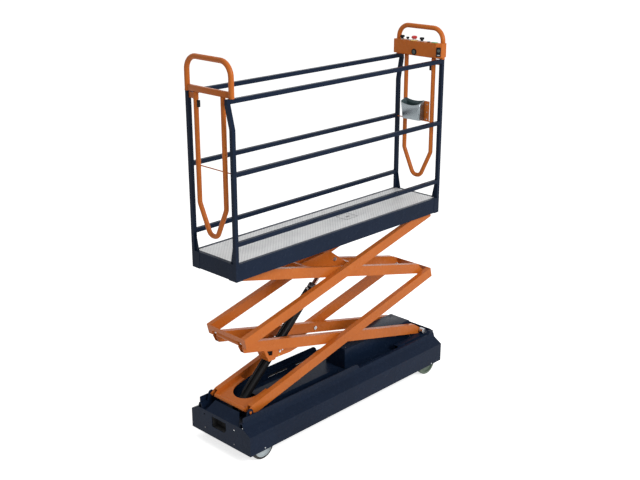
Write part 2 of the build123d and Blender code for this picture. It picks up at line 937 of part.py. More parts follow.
cylinder_axis = Vector(lug_pin_x - cylinder_foot_x, 0, lug_pin_z - cylinder_foot_z).normalized()
cylinder_plane = Plane(
    (cylinder_foot_x, 0, cylinder_foot_z),
    x_dir=(cylinder_axis.Z, 0, -cylinder_axis.X),
    z_dir=(0, -1, 0),
)
barrel_taper = 4
barrel_taper_length = 20
groove_depth = 3
groove_width = 5
groove_start = barrel_length - gland_length - 5 * groove_width
with BuildPart() as barrel:
    turned(
        cylinder_plane,
        (
            (0, 0),
            (barrel_radius - barrel_taper, 0),
            (barrel_radius, barrel_taper_length),
            (barrel_radius, groove_start),
            (barrel_radius - groove_depth, groove_start + groove_width),
            (barrel_radius - groove_depth, groove_start + 2 * groove_width),
            (barrel_radius, groove_start + 3 * groove_width),
            (barrel_radius, barrel_length),
            (rod_radius + running_clearance, barrel_length),
            (rod_radius + running_clearance, barrel_length - gland_length),
            (barrel_bore, barrel_length - gland_length),
            (barrel_bore, barrel_base),
            (0, barrel_base),
        ),
    )
    pin_y(cylinder_foot_x, cylinder_foot_z, -eye_half_width, eye_half_width, eye_radius)
    pin_y(
        cylinder_foot_x,
        cylinder_foot_z,
        -eye_half_width,
        eye_half_width,
        cylinder_pin_radius + running_clearance,
        Mode.SUBTRACT,
    )
finish(barrel, "barrel")

piston_start = barrel_length - piston_inset - piston_length
with BuildPart() as rod:
    turned(
        cylinder_plane,
        (
            (0, piston_start),
            (barrel_bore - running_clearance, piston_start),
            (barrel_bore - running_clearance, piston_start + piston_length),
            (rod_radius, piston_start + piston_length),
            (rod_radius, cylinder_length),
            (0, cylinder_length),
        ),
    )
    pin_y(lug_pin_x, lug_pin_z, -eye_half_width, eye_half_width, eye_radius)
    pin_y(lug_pin_x, lug_pin_z, -lug_inner_y + 1, lug_inner_y - 1, cylinder_pin_radius)
finish(rod, "rod")

# ---------------------------------------------------------------- platform

channel_face_y = platform_half_width - corner_sheet
panel_face_x = platform_end - corner_sheet
with BuildPart() as side_channels:
    folded_sheet(
        Plane.YZ.offset(-panel_face_x + channel_sheet),
        (
            (channel_face_y - channel_flange, channel_bottom),
            (channel_face_y, channel_bottom),
            (channel_face_y, deck_top),
            (channel_face_y - top_flange, deck_top),
        ),
        channel_sheet,
        2 * (panel_face_x - channel_sheet),
    )
    mirror(about=Plane.XZ)
finish(side_channels, "side_channels")

deck_half_length = platform_end - post - deck_edge_gap
deck_half_width = channel_face_y - top_flange
with BuildPart() as end_panels:
    slab(
        deck_half_length,
        panel_face_x - channel_sheet,
        -deck_half_width,
        deck_half_width,
        deck_top - channel_sheet,
        deck_top,
    )
    slab(
        panel_face_x - channel_sheet,
        panel_face_x,
        -channel_face_y,
        channel_face_y,
        channel_bottom,
        deck_top,
    )
    with BuildSketch(Plane.XY.offset(channel_bottom - corner_drop)) as corners:
        with BuildLine():
            Polyline(
                (platform_end - corner_run, channel_face_y + seat_gap),
                (platform_end - corner_run, platform_half_width),
                (platform_end, platform_half_width),
                (platform_end, platform_half_width - corner_width),
                (panel_face_x, platform_half_width - corner_width),
                (panel_face_x, channel_face_y + seat_gap),
                close=True,
            )
        make_face()
        mirror(about=Plane.XZ)
    extrude(corners.sketch, amount=deck_top - channel_bottom + corner_drop)
    mirror(about=Plane.YZ)
finish(end_panels, "end_panels")

with BuildPart() as deck:
    slab(-deck_half_length, deck_half_length, -deck_half_width, deck_half_width, deck_underside, deck_top)
    with BuildSketch(Plane.XY.offset(deck_underside - rib_height)) as ribs:
        with GridLocations(rib_pitch, 1, rib_count, 1):
            Rectangle(rib_width, 2 * deck_half_width)
    extrude(ribs.sketch, amount=rib_height)
finish(deck, "deck")

deck_lug_outer_y = inner_arm_y + deck_lug_gap
deck_lug_inner_y = inner_arm_y - tube_width - deck_lug_gap - deck_lug_thickness
with BuildPart() as deck_lugs:
    for inner_y in (deck_lug_inner_y, deck_lug_outer_y):
        with BuildSketch(Plane.XZ.offset(-(inner_y + deck_lug_thickness))) as lug:
            with Locations((left_pivot_x, deck_pivot_z)):
                Circle(deck_lug_radius)
            with Locations((left_pivot_x, (deck_pivot_z + deck_underside) / 2)):
                Rectangle(2 * deck_lug_radius, deck_underside - deck_pivot_z)
        extrude(lug.sketch, amount=deck_lug_thickness)
    pin_y(left_pivot_x, deck_pivot_z, deck_lug_inner_y, deck_lug_outer_y + deck_lug_thickness, pin_radius)
    mirror(about=Plane.XZ)
finish(deck_lugs, "deck_lugs")

post_inner_x = platform_end - post
post_inner_y = platform_half_width - post
rail_inner_y = platform_half_width - rail_width
post_top = top_rail_top - rail_height
with BuildPart() as posts:
    polygon(
        Plane.XZ.offset(platform_half_width - post),
        (
            (-post_inner_x, deck_top),
            (-platform_end, deck_top),
            (-platform_end, post_kink_z),
            (-platform_end - post_bend, post_top),
            (-post_inner_x - post_bend, post_top),
            (-post_inner_x, post_kink_z),
        ),
        post,
    )
    slab(post_inner_x, platform_end, -platform_half_width, -post_inner_y, deck_top, post_top)
    bent_and_straight = posts.part
    add(bent_and_straight.rotate(Axis.Z, 180))
    for side in (-1, 1):
        polygon(
            Plane.YZ.offset(side * end_frame_x - gusset_sheet / 2),
            (
                (post_inner_y, deck_top),
                (post_inner_y, deck_top + gusset_height),
                (post_inner_y - gusset_tip, deck_top + gusset_height),
                (post_inner_y - gusset_width, deck_top),
            ),
            gusset_sheet,
        )
        polygon(
            Plane.YZ.offset(side * end_frame_x - gusset_sheet / 2),
            (
                (-post_inner_y, deck_top),
                (-post_inner_y, deck_top + gusset_height),
                (-post_inner_y + gusset_tip, deck_top + gusset_height),
                (-post_inner_y + gusset_width, deck_top),
            ),
            gusset_sheet,
        )
finish(posts, "posts")

with BuildPart() as rails:
    for left, right, top in (
        (-platform_end - post_bend, platform_end, top_rail_top),
        (-post_inner_x, post_inner_x, mid_rail_top),
        (-post_inner_x, post_inner_x, toe_rail_top),
    ):
        slab(left, right, -platform_half_width, -rail_inner_y, top - rail_height, top)
        slab(
            left,
            right,
            -platform_half_width + rail_wall,
            -rail_inner_y - rail_wall,
            top - rail_height + rail_wall,
            top - rail_wall,
            Mode.SUBTRACT,
        )
    for x in (-platform_end - post_bend, platform_end - cap_depth):
        slab(
            x,
            x + cap_depth,
            -platform_half_width,
            -rail_inner_y,
            top_rail_top - rail_height,
            top_rail_top,
        )
    near_side = rails.part
    add(near_side.rotate(Axis.Z, 180))
finish(rails, "rails")

for name, side in (("left", -1), ("right", 1)):
    frame_plane = Plane.YZ.offset(side * end_frame_x)
    with BuildPart() as end_frame:
        with BuildLine(frame_plane) as arch:
            FilletPolyline(
                (-arch_leg_y, top_rail_top),
                (-arch_leg_y, arch_top - arch_radius),
                (arch_leg_y, arch_top - arch_radius),
                (arch_leg_y, top_rail_top),
                radius=arch_corner,
            )
        with BuildSketch(Plane.XY.offset(top_rail_top)) as section:
            with Locations((side * end_frame_x, -arch_leg_y)):
                Circle(arch_radius)
        sweep(section.sketch, path=arch.line)
        slab(
            side * end_frame_x - crossbar_depth / 2,
            side * end_frame_x + crossbar_depth / 2,
            -arch_leg_y,
            arch_leg_y,
            top_rail_top,
            top_rail_top + crossbar_height,
        )
    finish(end_frame, f"end_frame_{name}")

sleeve_radius = gate_tube_radius + sleeve_wall
with BuildPart() as gate_sleeves:
    with BuildSketch(Plane.XY.offset(sleeve_bottom)) as sleeve:
        with Locations((end_frame_x, -gate_leg_y)):
            Circle(sleeve_radius)
        with Locations((end_frame_x, -(gate_leg_y + post_inner_y) / 2)):
            Rectangle(plate, post_inner_y - gate_leg_y)
        with Locations((end_frame_x, -gate_leg_y)):
            Circle(gate_tube_radius + running_clearance, mode=Mode.SUBTRACT)
    extrude(sleeve.sketch, amount=sleeve_top - sleeve_bottom)
    right_sleeve = gate_sleeves.part
    add(right_sleeve.rotate(Axis.Z, 180))
finish(gate_sleeves, "gate_sleeves")

# ---------------------------------------------------------------- gates

gate_top = sleeve_top + seat_gap
bin_back_x = end_frame_x - gate_tube_radius - seat_gap
bin_front_x = bin_back_x - bin_depth
gate_bar_x = end_frame_x - gate_tube_radius - gate_bar_radius + weld_depth
for name, side in (("left", -1), ("right", 1)):
    with BuildPart() as gate:
        with BuildLine(Plane.YZ.offset(side * end_frame_x)) as loop:
            FilletPolyline(
                (-gate_leg_y, gate_top),
                (-gate_leg_y, gate_bend_z),
                (-gate_foot_half_width, gate_bottom + gate_tube_radius),
                (gate_foot_half_width, gate_bottom + gate_tube_radius),
                (gate_leg_y, gate_bend_z),
                (gate_leg_y, gate_top),
                radius=gate_foot_radius,
            )
        with BuildSketch(Plane.XY.offset(gate_top)) as section:
            with Locations((side * end_frame_x, -gate_leg_y)):
                Circle(gate_tube_radius)
        sweep(section.sketch, path=loop.line)
        with BuildSketch(Plane.XY.offset(gate_top)) as collar:
            with Locations((side * end_frame_x, -side * gate_leg_y)):
                Circle(gate_tube_radius + gate_lip)
        extrude(collar.sketch, amount=gate_cap)
        with BuildSketch(Plane.XZ.offset(side * (gate_leg_y + 2))) as bar:
            with Locations((side * gate_bar_x, gate_bar_z)):
                Circle(gate_bar_radius)
        extrude(bar.sketch, amount=-side * (gate_leg_y + 2 + gate_bar_reach))
        if side > 0:
            slab(
                bin_front_x + bin_plate_margin,
                end_frame_x - gate_tube_radius / 2,
                bin_low_y - bin_plate,
                bin_low_y,
                bin_bottom + bin_plate_margin,
                bin_front_top - bin_plate_margin,
            )
    finish(gate, f"gate_{name}")
bin_length = bin_high_y - bin_low_y
bin_middle_y = (bin_high_y + bin_low_y) / 2
bin_rim_slope = (bin_back_top - bin_front_top) / bin_depth
with BuildPart() as document_bin:
    polygon(
        Plane.XZ.offset(-bin_high_y),
        (
            (bin_back_x, bin_bottom),
            (bin_back_x, bin_back_top),
            (bin_front_x, bin_front_top),
            (bin_front_x + bin_front_lean, bin_bottom),
        ),
        bin_length,
    )
    polygon(
        Plane.XZ.offset(-bin_high_y + bin_sheet),
        (
            (bin_back_x - bin_sheet, bin_bottom + bin_sheet),
            (bin_back_x - bin_sheet, bin_back_top + bin_depth),
            (bin_front_x + bin_sheet, bin_back_top + bin_depth),
            (bin_front_x + bin_sheet, bin_front_top - bin_sheet),
            (bin_front_x + bin_front_lean + bin_sheet, bin_bottom + bin_sheet),
        ),
        bin_length - 2 * bin_sheet,
        Mode.SUBTRACT,
    )
    rim_plane = Plane(
        (bin_front_x, bin_middle_y, bin_front_top),
        x_dir=(0, 1, 0),
        z_dir=(1, 0, bin_rim_slope),
    )
    with BuildSketch(rim_plane) as dip:
        with Locations((0, bin_dip_radius - bin_dip)):
            Circle(bin_dip_radius)
    extrude(dip.sketch, amount=2 * bin_depth, both=True, mode=Mode.SUBTRACT)
finish(document_bin, "document_bin")

# ---------------------------------------------------------------- controls

arch_inner_x = end_frame_x - arch_radius - seat_gap / 2
arch_near_y = -arch_leg_y - arch_radius - seat_gap / 2
with BuildPart() as control_box:
    with BuildSketch(Plane.XY.offset(box_bottom)) as outline:
        with BuildLine():
            Polyline(
                (box_face_x, box_high_y),
                (box_face_x, box_low_y),
                (box_face_x + box_corner, arch_near_y - box_sheet),
                (end_frame_x + arch_radius, arch_near_y - box_sheet),
                (end_frame_x + arch_radius, arch_near_y),
                (arch_inner_x, arch_near_y),
                (arch_inner_x, box_high_y),
                close=True,
            )
        make_face()
    extrude(outline.sketch, amount=box_top - box_bottom)
    slab(
        box_face_x + box_sheet,
        arch_inner_x - box_sheet,
        box_low_y + box_sheet,
        box_high_y - box_sheet,
        box_bottom + box_sheet,
        box_top - box_sheet,
        Mode.SUBTRACT,
    )
finish(control_box, "control_box")

knob_x = (box_face_x + arch_inner_x) / 2
with BuildPart() as control_knobs:
    for y, radius, height, neck in knob_rows:
        with BuildSketch(Plane.XZ.offset(-y)) as profile:
            with BuildLine():
                Polyline(
                    (knob_x, box_top),
                    (knob_x + neck, box_top),
                    (knob_x + neck, box_top + height / 2),
                    (knob_x + radius, box_top + height / 2),
                    (knob_x + radius, box_top + height),
                    (knob_x, box_top + height),
                    close=True,
                )
            make_face()
        revolve(profile.sketch, axis=Axis((knob_x, y, 0), (0, 0, 1)))
finish(control_knobs, "control_knobs")
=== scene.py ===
import bpy
import bmesh
import json
from math import cos, pi, radians, sin, tan
from mathutils import Matrix, Vector


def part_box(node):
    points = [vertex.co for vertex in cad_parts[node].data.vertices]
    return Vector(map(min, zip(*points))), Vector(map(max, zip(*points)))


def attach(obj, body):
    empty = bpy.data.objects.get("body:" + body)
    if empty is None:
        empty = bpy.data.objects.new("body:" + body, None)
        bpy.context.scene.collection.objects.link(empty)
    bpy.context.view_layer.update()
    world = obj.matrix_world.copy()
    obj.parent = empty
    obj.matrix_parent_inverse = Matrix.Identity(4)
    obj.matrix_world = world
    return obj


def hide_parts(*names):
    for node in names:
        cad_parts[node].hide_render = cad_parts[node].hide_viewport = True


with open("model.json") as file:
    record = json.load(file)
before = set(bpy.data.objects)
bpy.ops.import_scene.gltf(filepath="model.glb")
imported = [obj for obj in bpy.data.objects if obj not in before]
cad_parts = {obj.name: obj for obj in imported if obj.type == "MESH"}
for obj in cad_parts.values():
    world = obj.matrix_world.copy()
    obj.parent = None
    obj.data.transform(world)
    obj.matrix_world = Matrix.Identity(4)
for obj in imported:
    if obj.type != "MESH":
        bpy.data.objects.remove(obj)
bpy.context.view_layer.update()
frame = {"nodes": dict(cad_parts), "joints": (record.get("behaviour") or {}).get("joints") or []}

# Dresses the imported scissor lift: materials for the CAD's own pieces, then the tubes, sheets and
# small fittings that the photograph shows, then the floor, the lamps and the camera.
#
# Lengths are in metres, in the CAD's frame: X runs along the base towards the control box, Y across
# it from the near side to the far side, and Z up from the floor.

nodes = frame["nodes"]
joints = {joint["name"]: joint for joint in frame["joints"]}

towards_near = (0, -1, 0)
towards_far = (0, 1, 0)
towards_left = (-1, 0, 0)
upwards = (0, 0, 1)

# ---------------------------------------------------------------- shader nodes

# Nearly all of a noise texture's values lie between these two
noise_low, noise_high = 0.3, 0.7


def new_material(name):
    material = bpy.data.materials.new(name)
    material.use_nodes = True
    tree = material.node_tree
    return material, tree, tree.nodes["Principled BSDF"]


def feed(tree, value, socket):
    """Links another node's output to a socket, or sets the socket's own value."""
    if isinstance(value, bpy.types.NodeSocket):
        tree.links.new(value, socket)
    elif isinstance(value, tuple):
        socket.default_value = (*value, 1)
    else:
        socket.default_value = value


def noise(tree, scale, detail=4.0, rough=0.55):
    coords = tree.nodes.new("ShaderNodeTexCoord")
    texture = tree.nodes.new("ShaderNodeTexNoise")
    texture.inputs["Scale"].default_value = scale
    texture.inputs["Detail"].default_value = detail
    texture.inputs["Roughness"].default_value = rough
    tree.links.new(coords.outputs["Object"], texture.inputs["Vector"])
    return texture.outputs["Fac"]


def ramp(tree, factor, low_colour, high_colour, start=noise_low):
    """Goes from one colour to the other while the noise goes from start to its high value."""
    node = tree.nodes.new("ShaderNodeValToRGB")
    low, high = node.color_ramp.elements
    low.position, high.position = start, noise_high
    low.color, high.color = (*low_colour, 1), (*high_colour, 1)
    tree.links.new(factor, node.inputs["Fac"])
    return node.outputs["Color"]


def remap(tree, factor, low, high, start=0.0, stop=1.0):
    """Goes from low to high while the factor goes from start to stop."""
    node = tree.nodes.new("ShaderNodeMapRange")
    node.inputs["From Min"].default_value = start
    node.inputs["From Max"].default_value = stop
    node.inputs["To Min"].default_value = low
    node.inputs["To Max"].default_value = high
    tree.links.new(factor, node.inputs["Value"])
    return node.outputs["Result"]


def calculate(tree, operation, first, second):
    node = tree.nodes.new("ShaderNodeMath")
    node.operation = operation
    feed(tree, first, node.inputs[0])
    feed(tree, second, node.inputs[1])
    return node.outputs["Value"]


def blend_colours(tree, factor, first, second, mode="MIX"):
    node = tree.nodes.new("ShaderNodeMix")
    node.data_type = "RGBA"
    node.blend_type = mode
    feed(tree, factor, node.inputs["Factor"])
    # A mix node has one pair of inputs and one output for each kind of data: these are the colours
    feed(tree, first, node.inputs[6])
    feed(tree, second, node.inputs[7])
    return node.outputs[2]


def vary_roughness(tree, shader, factor, low, high):
    rough = remap(tree, factor, low, high, noise_low, noise_high)
    tree.links.new(rough, shader.inputs["Roughness"])


def bump(tree, shader, height, strength, distance=0.001):
    node = tree.nodes.new("ShaderNodeBump")
    node.inputs["Strength"].default_value = strength
    node.inputs["Distance"].default_value = distance
    tree.links.new(height, node.inputs["Height"])
    tree.links.new(node.outputs["Normal"], shader.inputs["Normal"])


def seen_directly(tree):
    """1 for what the camera sees, itself or mirrored, and 0 for light on its way to the object."""
    path = tree.nodes.new("ShaderNodeLightPath")
    return calculate(
        tree, "MAXIMUM", path.outputs["Is Camera Ray"], path.outputs["Is Glossy Ray"]
    )


# ---------------------------------------------------------------- kinds of material


def painted(name, colour, shade, worn, roughness=0.33, gloss=0.18):
    """Paint that varies a little over the surface and is scuffed lighter along its edges."""
    material, tree, shader = new_material(name)
    base = ramp(tree, noise(tree, 2.2, 3.0), shade, colour)
    scuffs = remap(tree, noise(tree, 38.0, 6.0, 0.7), 0.0, 0.35, 0.52, 0.78)
    geometry = tree.nodes.new("ShaderNodeNewGeometry")
    edges = remap(tree, geometry.outputs["Pointiness"], 0.0, 1.0, 0.52, 0.60)
    worn_share = calculate(tree, "MULTIPLY", edges, scuffs)
    tree.links.new(blend_colours(tree, worn_share, base, worn), shader.inputs["Base Color"])
    vary_roughness(tree, shader, noise(tree, 9.0, 5.0), roughness - 0.06, roughness + 0.10)
    shader.inputs["Specular IOR Level"].default_value = gloss
    bump(tree, shader, noise(tree, 420.0, 2.0), 0.05)
    return material


def metal(name, colour, shade, roughness, scale=90.0):
    """Bare metal, whose colour, roughness and bumps follow one grain."""
    material, tree, shader = new_material(name)
    grain = noise(tree, scale, 5.0, 0.6)
    tree.links.new(ramp(tree, grain, shade, colour), shader.inputs["Base Color"])
    shader.inputs["Metallic"].default_value = 1.0
    vary_roughness(tree, shader, grain, roughness - 0.08, roughness + 0.12)
    bump(tree, shader, grain, 0.06)
    return material


def plastic(name, colour, shade, roughness, gloss=0.4):
    """Moulded plastic or rubber with a fine grain."""
    material, tree, shader = new_material(name)
    tree.links.new(ramp(tree, noise(tree, 14.0), shade, colour), shader.inputs["Base Color"])
    vary_roughness(tree, shader, noise(tree, 60.0), roughness - 0.07, roughness + 0.1)
    shader.inputs["Specular IOR Level"].default_value = gloss
    bump(tree, shader, noise(tree, 900.0, 2.0), 0.08)
    return material


def patterned_plate(name):
    """Light plate with rows of short raised bars that lean in turn to either side."""
    bars_per_metre = 27
    material, tree, shader = new_material(name)
    coords = tree.nodes.new("ShaderNodeTexCoord")
    heights = []
    for turn, shift in ((45, 0.0), (-45, 0.5)):
        mapping = tree.nodes.new("ShaderNodeMapping")
        mapping.inputs["Rotation"].default_value = (0, 0, radians(turn))
        mapping.inputs["Location"].default_value = (shift, shift, 0)
        mapping.inputs["Scale"].default_value = (bars_per_metre,) * 3
        tree.links.new(coords.outputs["Object"], mapping.inputs["Vector"])
        brick = tree.nodes.new("ShaderNodeTexBrick")
        brick.inputs["Color1"].default_value = (1, 1, 1, 1)
        brick.inputs["Color2"].default_value = (1, 1, 1, 1)
        brick.inputs["Mortar"].default_value = (0, 0, 0, 1)
        brick.inputs["Scale"].default_value = 1.0
        brick.inputs["Mortar Size"].default_value = 0.18
        brick.inputs["Mortar Smooth"].default_value = 0.6
        brick.inputs["Brick Width"].default_value = 1.0
        brick.inputs["Row Height"].default_value = 0.5
        tree.links.new(mapping.outputs["Vector"], brick.inputs["Vector"])
        heights.append(brick.outputs["Color"])
    raised = blend_colours(tree, 1.0, *heights, mode="MULTIPLY")
    # The plate between the bars is darker, with a mottled tone
    between_bars_colour = ramp(tree, noise(tree, 5.0, 6.0, 0.65), (0.58, 0.59, 0.60), (0.71, 0.72, 0.72), 0.35)
    plate = blend_colours(tree, raised, between_bars_colour, (0.84, 0.85, 0.85))
    tree.links.new(plate, shader.inputs["Base Color"])
    shader.inputs["Metallic"].default_value = 0.35
    vary_roughness(tree, shader, noise(tree, 30.0, 5.0), 0.38, 0.56)
    bump(tree, shader, raised, 0.5, 0.002)
    return material


# ---------------------------------------------------------------- the lift's materials

navy = painted(
    "navy",
    colour=(0.0082, 0.0168, 0.0390),
    shade=(0.0060, 0.0128, 0.0300),
    worn=(0.030, 0.045, 0.080),
    roughness=0.24,
    gloss=0.06,
)
# Lighter navy that stands for a sheen: a painted highlight, laid along the deck's side flanges
navy_painted_sheen = painted(
    "navy_painted_sheen",
    colour=(0.050, 0.060, 0.084),
    shade=(0.038, 0.047, 0.068),
    worn=(0.11, 0.13, 0.16),
    gloss=0.10,
)
orange = painted(
    "orange",
    colour=(0.580, 0.150, 0.022),
    shade=(0.500, 0.125, 0.017),
    worn=(0.70, 0.27, 0.07),
    roughness=0.27,
    gloss=0.16,
)
black = painted(
    "black",
    colour=(0.0090, 0.0090, 0.0100),
    shade=(0.0060, 0.0060, 0.0070),
    worn=(0.05, 0.05, 0.05),
    roughness=0.28,
    gloss=0.10,
)

zinc = metal("zinc", (0.72, 0.72, 0.73), (0.52, 0.53, 0.55), 0.30)
rod_steel = metal("rod_steel", (0.52, 0.36, 0.30), (0.36, 0.24, 0.20), 0.22, 40.0)
galvanised = metal("galvanised", (0.31, 0.35, 0.37), (0.27, 0.305, 0.325), 0.26, 7.0)
dark_steel = metal("dark_steel", (0.20, 0.20, 0.21), (0.12, 0.12, 0.13), 0.36)
tread_plate = patterned_plate("tread_plate")

black_rubber = plastic("black_rubber", (0.012, 0.012, 0.012), (0.007, 0.007, 0.007), 0.62)
green_rubber = plastic("green_rubber", (0.130, 0.170, 0.125), (0.100, 0.135, 0.098), 0.60)
disc_grey = plastic("disc_grey", (0.42, 0.47, 0.50), (0.34, 0.38, 0.41), 0.42)
black_plastic = plastic(
    "black_plastic", (0.010, 0.010, 0.011), (0.006, 0.006, 0.007), 0.34, gloss=0.10
)
red_plastic = plastic("red_plastic", (0.56, 0.020, 0.022), (0.44, 0.014, 0.016), 0.30)
yellow_plastic = plastic("yellow_plastic", (0.80, 0.52, 0.05), (0.70, 0.44, 0.04), 0.38)
green_plastic = plastic("green_plastic", (0.08, 0.42, 0.10), (0.06, 0.34, 0.08), 0.32)
grey_plastic = plastic("grey_plastic", (0.50, 0.52, 0.53), (0.42, 0.44, 0.45), 0.38)
pale_plastic = plastic("pale_plastic", (0.74, 0.76, 0.77), (0.66, 0.68, 0.70), 0.32)
# Dark teal for the inner face of the bin's wall: painted shade
bin_inside_shade = plastic("bin_inside_shade", (0.030, 0.060, 0.066), (0.020, 0.042, 0.047), 0.55)
dim_plastic = plastic(
    "dim_plastic", (0.090, 0.110, 0.105), (0.065, 0.080, 0.076), 0.40, gloss=0.15
)
sage = plastic("sage", (0.100, 0.138, 0.102), (0.080, 0.112, 0.082), 0.50)
disc_light = plastic("disc_light", (0.50, 0.56, 0.58), (0.42, 0.47, 0.49), 0.40)
# Near black for painted shade: dark boxes and sheets put in slots and behind holes
painted_shade = plastic("painted_shade", (0.004, 0.004, 0.005), (0.003, 0.003, 0.003), 0.7)

node_materials = {
    "roller_tracks": navy,
    "battery_block": black_plastic,
    "deck": tread_plate,
    "barrel": black,
    "rod": rod_steel,
    "document_bin": galvanised,
    "control_knobs": black_plastic,
    "control_box": orange,
    "axles": zinc,
    "disc_left_near": disc_light,
    "disc_right_near": sage,
}


def material_for(name):
    if name in node_materials:
        return node_materials[name]
    if name.startswith("tyre_"):
        return black_rubber if name.startswith("tyre_left") else green_rubber
    if name.startswith("disc_"):
        return disc_grey
    if name.endswith(("_pins", "_rollers")):
        return zinc
    if name.startswith(("a1_", "a2_", "b1_", "b2_", "end_frame", "gate_")):
        return orange
    return navy


edge_rounding = 0.0012
rounded_from = radians(38)

for name, node in nodes.items():
    material = material_for(name)
    if node.material_slots:
        for slot in node.material_slots:
            slot.material = material
    else:
        node.data.materials.append(material)
    if name.startswith(("tyre_", "battery")):
        continue
    rounding = node.modifiers.new("edge_rounding", "BEVEL")
    rounding.width = edge_rounding
    rounding.segments = 2
    rounding.limit_method = "ANGLE"
    rounding.angle_limit = rounded_from

# ---------------------------------------------------------------- piece builders

smooth_up_to = radians(35)

# How far a thin piece reaches into what it lies on
sunk = 0.001

# The heads' radius of the bolts in the base's end plate and in the control box's end
end_bolt_radius = 0.0035


def make_piece(name, mesh, material, body):
    mesh.materials.append(material)
    mesh.shade_smooth()
    mesh.set_sharp_from_angle(angle=smooth_up_to)
    piece = bpy.data.objects.new(name, mesh)
    bpy.context.scene.collection.objects.link(piece)
    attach(piece, body)
    return piece


def from_bmesh(name, bm, material, body):
    bmesh.ops.recalc_face_normals(bm, faces=bm.faces)
    mesh = bpy.data.meshes.new(name)
    bm.to_mesh(mesh)
    bm.free()
    return make_piece(name, mesh, material, body)


def stand_at(centre, axis):
    """Puts the origin at a point and turns local Z to an axis."""
    turn = Vector(upwards).rotation_difference(Vector(axis))
    return Matrix.Translation(centre) @ turn.to_matrix().to_4x4()


def circle(radius, segments):
    turns = [2 * pi * step / segments for step in range(segments)]
    return [(radius * cos(turn), radius * sin(turn)) for turn in turns]


def join_rings(bm, rings, first_cap=True, last_cap=True, last_to_first=False):
    """Skins a row of rings that have the same number of points."""
    pairs = list(zip(rings, rings[1:]))
    if last_to_first:
        pairs.append((rings[-1], rings[0]))
    for low, high in pairs:
        for step in range(len(low)):
            following = (step + 1) % len(low)
            bm.faces.new((low[step], low[following], high[following], high[step]))
    if first_cap:
        bm.faces.new(list(reversed(rings[0])))
    if last_cap:
        bm.faces.new(rings[-1])


def lathe(bm, profile, place, segments, ring_shaped=False):
    """Turns (radius, height) points about local Z: a solid, or a ring with a hole through it."""
    rings = [
        [bm.verts.new(place @ Vector((x, y, height))) for x, y in circle(radius, segments)]
        for radius, height in profile
    ]
    join_rings(bm, rings, not ring_shaped, not ring_shaped, ring_shaped)


def turned(name, centre, axis, profile, material, body, segments=28, ring_shaped=False):
    bm = bmesh.new()
    lathe(bm, profile, stand_at(centre, axis), segments, ring_shaped)
    return from_bmesh(name, bm, material, body)


def bolts(name, centres, axis, radius, material, body):
    """Washers with chamfered hexagon heads, all facing the same way."""
    washer = ((radius * 1.45, -0.0004), (radius * 1.5, 0.0004), (radius * 1.45, 0.0014))
    head = ((radius, 0.0012), (radius, radius * 0.62), (radius * 0.86, radius * 0.78))
    bm = bmesh.new()
    for centre in centres:
        place = stand_at(centre, axis)
        lathe(bm, washer, place, 24)
        lathe(bm, head, place, 6)
    return from_bmesh(name, bm, material, body)


def extrude(bm, faces, move):
    """Extrudes faces into a solid and returns the points that moved."""
    made = bmesh.ops.extrude_face_region(bm, geom=faces)["geom"]
    moved = [item for item in made if isinstance(item, bmesh.types.BMVert)]
    bmesh.ops.translate(bm, verts=moved, vec=move)
    return moved


def edges_at(points):
    """The edges that meet at any of the points, each once, in the same order each run."""
    return list(dict.fromkeys(edge for point in points for edge in point.link_edges))


def bevel(bm, edges, width, segments=2):
    bmesh.ops.bevel(bm, geom=edges, offset=width, segments=segments, profile=0.5, affect="EDGES")


def plate(name, centre, across, up, width, height, depth, rounding, material, body):
    """A plate on a sloping face: its back is centred on a point and lies along across and up."""
    bm = bmesh.new()
    corners = [
        bm.verts.new(centre + across * (u * width / 2) + up * (v * height / 2))
        for u, v in ((-1, -1), (1, -1), (1, 1), (-1, 1))
    ]
    extrude(bm, [bm.faces.new(corners)], across.cross(up) * depth)
    bevel(bm, list(bm.edges), rounding)
    return from_bmesh(name, bm, material, body)


def box_into(bm, low, high, rounding):
    """A box with rounded edges, added to a mesh."""
    made = bmesh.ops.create_cube(bm, size=1.0)["verts"]
    for vertex in made:
        vertex.co = Vector(
            (high[axis] if vertex.co[axis] > 0 else low[axis]) for axis in range(3)
        )
    bevel(bm, edges_at(made), rounding)


def box(name, low, high, rounding, material, body):
    bm = bmesh.new()
    box_into(bm, low, high, rounding)
    return from_bmesh(name, bm, material, body)


def pipe(name, points, radius, material, body):
    """A pipe that starts and ends at the outer points and bends towards the inner ones."""
    curve = bpy.data.curves.new(name, "CURVE")
    curve.dimensions = "3D"
    curve.bevel_depth = radius
    curve.bevel_resolution = 5
    curve.resolution_u = 10
    curve.use_fill_caps = True
    spline = curve.splines.new("NURBS")
    spline.points.add(len(points) - 1)
    for point, place in zip(spline.points, points):
        point.co = (*place, 1)
    spline.order_u = 3
    spline.use_endpoint_u = True
    shape = bpy.data.objects.new(name, curve)
    bpy.context.scene.collection.objects.link(shape)
    bpy.context.view_layer.update()
    depsgraph = bpy.context.evaluated_depsgraph_get()
    mesh = bpy.data.meshes.new_from_object(shape.evaluated_get(depsgraph))
    bpy.data.objects.remove(shape)
    mesh.materials.clear()
    return make_piece(name, mesh, material, body)


def arc_path(corners, radii, steps=8):
    """A path through corners, each inner one rounded to its radius."""
    corners = [Vector(corner) for corner in corners]
    path = [corners[0]]
    for before, corner, after, radius in zip(corners, corners[1:], corners[2:], radii):
        back = (before - corner).normalized()
        ahead = (after - corner).normalized()
        half = back.angle(ahead) / 2
        centre = corner + (back + ahead).normalized() * (radius / sin(half))
        start = corner + back * (radius / tan(half)) - centre
        finish = corner + ahead * (radius / tan(half)) - centre
        axis = start.cross(finish).normalized()
        turn = start.angle(finish)
        for step in range(steps + 1):
            path.append(centre + Matrix.Rotation(turn * step / steps, 4, axis) @ start)
    path.append(corners[-1])
    return path


